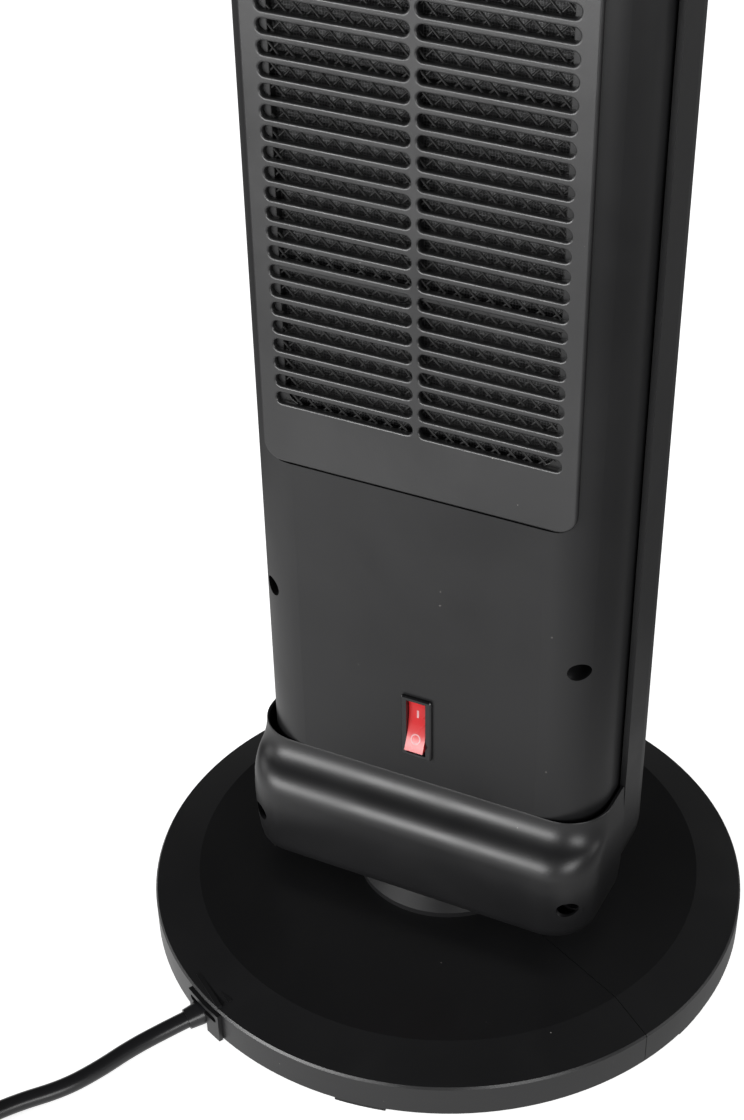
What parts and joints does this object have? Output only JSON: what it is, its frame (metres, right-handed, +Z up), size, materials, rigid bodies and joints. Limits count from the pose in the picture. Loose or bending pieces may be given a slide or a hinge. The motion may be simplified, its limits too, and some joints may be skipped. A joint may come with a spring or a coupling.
{
  "type": "oscillating electric tower fan heater",
  "caption": "Tall black oscillating tower fan heater on a round two-piece base, with a slotted rear intake grille, mains rocker and stored cord.",
  "frame": {"origin": "centre of the base on the floor, at the bottom of the feet", "axes": "+Z up along the tower's swing axis, +Y towards the intake side at the rear of the tower, -Y towards the warm-air front; +X completes the right hand"},
  "size_m": [0.2916, 0.4617, 0.735],
  "materials": {
    "black_satin_plastic": "black moulded ABS with a fine spark-eroded grain",
    "black_gloss_plastic": "smooth glossy black plastic",
    "foot_rubber": "soft matt black rubber",
    "zinc_steel": "zinc-plated sheet and turned steel",
    "dark_screw_steel": "blackened steel screw",
    "motor_steel": "plain coated motor can",
    "white_nylon": "natural white nylon",
    "grey_plastic": "dark grey moulded plastic",
    "ivory_plastic": "ivory heat-resistant plastic",
    "net_nylon": "fine black nylon net",
    "red_rocker_plastic": "translucent red plastic",
    "heater_ceramic": "fired ceramic",
    "fin_aluminium": "thin folded aluminium strip",
    "smoked_lens": "smoked display window",
    "circuit_board": "green circuit board with its parts",
    "button_plastic": "satin black button cap",
    "cord_rubber": "black cord sheath with a soft shine",
    "tie_plastic": "thin black tie strip",
    "plug_plastic": "moulded black plug",
    "pin_brass": "bare brass pins"
  },
  "bodies": {
    "base": {"base_rear_half": "black_satin_plastic", "base_front_half": "black_satin_plastic", "base_feet": "foot_rubber", "base_joint_plate": "zinc_steel", "base_joint_screws": "zinc_steel", "neck_column": "black_satin_plastic", "thrust_washer": "white_nylon", "fixed_gear": "white_nylon", "gear_retainer": "zinc_steel", "cord_outlet_clip": "black_satin_plastic", "cord_strain_relief": "cord_rubber", "power_cord": "cord_rubber", "cord_coil": "cord_rubber", "cord_tie": "tie_plastic", "plug_body": "plug_plastic", "plug_pins": "pin_brass"},
    "tower": {"tower_floor": "black_satin_plastic", "floor_screws": "zinc_steel", "front_shell": "black_satin_plastic", "rear_shell": "black_satin_plastic", "rear_cowl": "black_satin_plastic", "shell_screws": "dark_screw_steel", "cowl_screws": "dark_screw_steel", "switch_housing": "black_gloss_plastic", "carry_handle_cup": "black_satin_plastic", "blower_motor": "motor_steel", "blower_housing": "grey_plastic", "wheel_bearing": "foot_rubber", "heater_frame": "ivory_plastic", "heater_bars": "heater_ceramic", "heater_fins": "fin_aluminium", "thermal_cutout": "heater_ceramic", "front_grille": "black_satin_plastic", "top_cover": "black_satin_plastic", "control_panel": "black_gloss_plastic", "display_lens": "smoked_lens", "control_board": "circuit_board", "power_board": "circuit_board", "tilt_switch": "ivory_plastic", "terminal_block": "ivory_plastic", "swing_motor": "motor_steel", "swing_bracket": "zinc_steel"},
    "swing_drive": {"swing_pinion": "white_nylon", "swing_shaft": "zinc_steel"},
    "blower": {"blower_wheel": "grey_plastic", "motor_shaft": "zinc_steel"},
    "rocker": {"switch_rocker": "red_rocker_plastic"},
    "rear_intake": {"rear_grille": "black_satin_plastic", "dust_filter_frame": "black_satin_plastic", "dust_net": "net_nylon"},
    "button_1": {"button_cap_1": "button_plastic"},
    "button_2": {"button_cap_2": "button_plastic"},
    "button_3": {"button_cap_3": "button_plastic"},
    "button_4": {"button_cap_4": "button_plastic"}
  },
  "joints": [
    {"name": "oscillation", "type": "hinge", "parent": "base", "child": "tower", "pos_m": [0, 0, 0.045], "axis": [0, 0, 1], "range_deg": [-61, 9]},
    {"name": "pinion_spin", "type": "hinge", "parent": "tower", "child": "swing_drive", "pos_m": [0.03385, 0, 0.05], "axis": [0, 0, 1], "range_deg": [-175, 26]},
    {"name": "blower_spin", "type": "hinge", "parent": "tower", "child": "blower", "pos_m": [0, -0.001, 0.38], "axis": [0, 0, 1], "continuous": true},
    {"name": "rocker_tilt", "type": "hinge", "parent": "tower", "child": "rocker", "pos_m": [0, 0.026, 0.1225], "axis": [1, 0, 0], "range_deg": [-22, 0]},
    {"name": "rear_intake_release", "type": "slide", "parent": "tower", "child": "rear_intake", "axis": [0, 1, 0], "range_m": [0, 0.06]},
    {"name": "button_1_press", "type": "slide", "parent": "tower", "child": "button_1", "axis": [0, 0, -1], "range_m": [0, 0.0012], "stiffness_N_per_m": 600},
    {"name": "button_2_press", "type": "slide", "parent": "tower", "child": "button_2", "axis": [0, 0, -1], "range_m": [0, 0.0012], "stiffness_N_per_m": 600},
    {"name": "button_3_press", "type": "slide", "parent": "tower", "child": "button_3", "axis": [0, 0, -1], "range_m": [0, 0.0012], "stiffness_N_per_m": 600},
    {"name": "button_4_press", "type": "slide", "parent": "tower", "child": "button_4", "axis": [0, 0, -1], "range_m": [0, 0.0012], "stiffness_N_per_m": 600}
  ],
  "couplings": [
    {"joint": "pinion_spin", "follows": "oscillation", "ratio": 2.8571}
  ]
}
